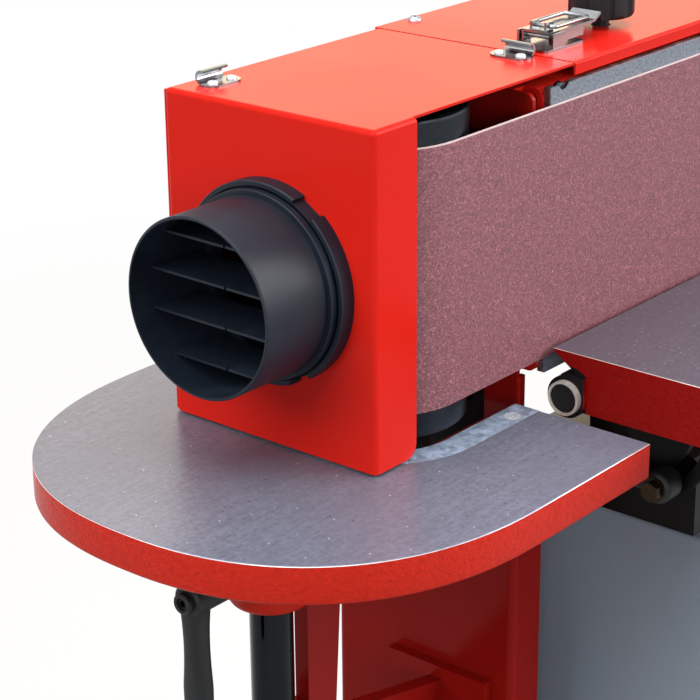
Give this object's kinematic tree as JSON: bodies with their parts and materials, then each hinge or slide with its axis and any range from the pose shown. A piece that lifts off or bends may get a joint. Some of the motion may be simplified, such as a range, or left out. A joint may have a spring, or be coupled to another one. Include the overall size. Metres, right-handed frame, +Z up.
{
  "type": "edge sander",
  "caption": "Floor-standing edge sander: an upright abrasive belt on two rollers, with a red lift-off hood and dust port, a rounded end table, a tilting main table and a cabinet base.",
  "frame": {"origin": "centre of the four floor bolt holes, on the floor", "axes": "+X along the belt from the idler end to the drive end, +Y away from the operator, +Z up"},
  "size_m": [1.2495, 0.503, 1.0995],
  "materials": {
    "red_paint": "glossy powder coat on sheet steel",
    "red_casting": "cast iron, machined on top and painted on the sides",
    "cabinet_paint": "satin blue-grey powder coat",
    "black_paint": "satin black enamel",
    "motor_paint": "grey motor enamel",
    "port_plastic": "moulded black plastic",
    "black_plastic": "black plastic",
    "steel": "turned and drawn steel",
    "zinc": "zinc-plated steel",
    "nickel": "bright nickel plate",
    "polished": "ground and polished steel",
    "roller": "dark oxide steel",
    "drum": "turned aluminium",
    "grit_cloth": "brown abrasive on cloth",
    "graphite": "grey graphite cloth",
    "green_plastic": "green push button",
    "red_plastic": "red push button"
  },
  "bodies": {
    "base": {"floor_feet": "cabinet_paint", "base_cabinet": "cabinet_paint", "base_bolts": "zinc", "left_post": "red_paint", "right_post": "red_paint", "head_channel": "red_paint", "platen": "steel", "platen_pad": "graphite", "platen_screws": "zinc", "top_cover": "red_paint", "back_guard": "red_paint", "drive_cover": "red_paint", "latch_bases": "nickel", "belt": "grit_cloth", "motor_bracket": "red_paint", "motor_body": "motor_paint", "motor_fan_cover": "black_paint", "terminal_box": "motor_paint", "motor_bolts": "zinc", "cable_glands": "black_plastic", "guide_bushes": "steel", "lift_gearbox": "black_paint", "end_column": "polished", "column_bracket": "red_paint", "switch_box": "black_plastic"},
    "hood": {"hood": "red_paint", "dust_port": "port_plastic", "latch_keepers": "nickel", "keeper_rivets": "nickel"},
    "back_latch": {"back_latch_lever": "nickel"},
    "back_bail": {"back_latch_bail": "nickel"},
    "top_latch": {"top_latch_lever": "nickel"},
    "top_bail": {"top_latch_bail": "nickel"},
    "carriage": {"idler_carriage": "black_paint", "idler_axle": "steel", "tension_rods": "steel"},
    "idler": {"idler_roller": "roller", "idler_bearings": "steel"},
    "tension": {"tension_lever": "steel", "tension_ball": "black_plastic"},
    "tracking": {"tracking_knob": "black_plastic"},
    "drum": {"drive_drum": "drum", "motor_shaft": "steel"},
    "lift": {"table_carrier": "black_paint", "lift_columns": "polished", "lift_spindle": "steel", "tilt_tube": "steel", "tube_plugs": "black_plastic"},
    "table": {"main_table": "red_casting", "tilt_quadrants": "black_paint"},
    "lock_left": {"tilt_lock_left": "black_plastic"},
    "lock_right": {"tilt_lock_right": "black_plastic"},
    "wheel": {"handwheel": "black_paint"},
    "grip": {"wheel_grip": "black_plastic"},
    "end_top": {"end_table": "red_casting", "insert_strip": "zinc", "insert_screws": "zinc"},
    "clamp": {"clamp_lever": "black_plastic"},
    "start": {"start_button": "green_plastic"},
    "stop": {"stop_button": "red_plastic"}
  },
  "joints": [
    {"name": "drum_spin", "type": "hinge", "parent": "base", "child": "drum", "pos_m": [0.49628, 0.1015, 0.978], "axis": [0, 0, 1], "continuous": true},
    {"name": "tension_slide", "type": "slide", "parent": "base", "child": "carriage", "axis": [1, 0, 0], "range_m": [0, 0.01]},
    {"name": "idler_spin", "type": "hinge", "parent": "carriage", "child": "idler", "pos_m": [-0.46628, 0.0875, 0.978], "axis": [0, 0, 1], "continuous": true},
    {"name": "tension_turn", "type": "hinge", "parent": "base", "child": "tension", "pos_m": [-0.10428, 0.0875, 1.08], "axis": [0, 0, 1], "range_deg": [0, 180]},
    {"name": "tracking_turn", "type": "hinge", "parent": "base", "child": "tracking", "pos_m": [-0.25728, 0.0875, 1.08], "axis": [0, 0, 1], "range_deg": [-180, 180]},
    {"name": "handwheel_turn", "type": "hinge", "parent": "base", "child": "wheel", "pos_m": [0.03, -0.102, 0.6], "axis": [0, 1, 0], "range_deg": [0, 1260]},
    {"name": "table_lift", "type": "slide", "parent": "base", "child": "lift", "axis": [0, 0, 1], "range_m": [0, 0.07]},
    {"name": "grip_spin", "type": "hinge", "parent": "wheel", "child": "grip", "pos_m": [0.03, -0.132, 0.665], "axis": [0, 1, 0], "continuous": true},
    {"name": "table_tilt", "type": "hinge", "parent": "lift", "child": "table", "pos_m": [0, 0.024, 0.8825], "axis": [1, 0, 0], "range_deg": [0, 45]},
    {"name": "lock_left_turn", "type": "hinge", "parent": "lift", "child": "lock_left", "pos_m": [-0.34728, -0.02556, 0.83027], "axis": [1, 0, 0], "range_deg": [-60, 25]},
    {"name": "lock_right_turn", "type": "hinge", "parent": "lift", "child": "lock_right", "pos_m": [0.37128, -0.02556, 0.83027], "axis": [1, 0, 0], "range_deg": [-60, 25]},
    {"name": "end_table_slide", "type": "slide", "parent": "base", "child": "end_top", "axis": [0, 0, 1], "range_m": [-0.04, 0]},
    {"name": "clamp_turn", "type": "hinge", "parent": "end_top", "child": "clamp", "pos_m": [-0.60528, 0.103, 0.821], "axis": [1, 0, 0], "range_deg": [-75, 75]},
    {"name": "hood_lift", "type": "slide", "parent": "base", "child": "hood", "axis": [0, 0, 1], "range_m": [0, 0.23]},
    {"name": "back_latch_turn", "type": "hinge", "parent": "base", "child": "back_latch", "pos_m": [-0.50428, 0.1985, 1.0355], "axis": [1, 0, 0], "range_deg": [0, 60]},
    {"name": "back_bail_turn", "type": "hinge", "parent": "back_latch", "child": "back_bail", "pos_m": [-0.50428, 0.2043, 1.034], "axis": [1, 0, 0], "range_deg": [0, 100]},
    {"name": "top_latch_turn", "type": "hinge", "parent": "base", "child": "top_latch", "pos_m": [-0.32928, 0.082, 1.0785], "axis": [0, -1, 0], "range_deg": [0, 60]},
    {"name": "top_bail_turn", "type": "hinge", "parent": "top_latch", "child": "top_bail", "pos_m": [-0.32778, 0.082, 1.0843], "axis": [0, -1, 0], "range_deg": [0, 100]},
    {"name": "start_press", "type": "slide", "parent": "base", "child": "start", "axis": [0, 1, 0], "range_m": [0, 0.003], "stiffness_N_per_m": 600},
    {"name": "stop_press", "type": "slide", "parent": "base", "child": "stop", "axis": [0, 1, 0], "range_m": [0, 0.004], "stiffness_N_per_m": 600}
  ],
  "couplings": [
    {"joint": "idler_spin", "follows": "drum_spin", "ratio": 1.3043},
    {"joint": "tension_turn", "follows": "tension_slide", "rad_per_m": 314.16},
    {"joint": "table_lift", "follows": "handwheel_turn", "m_per_rad": 0.0031831}
  ]
}
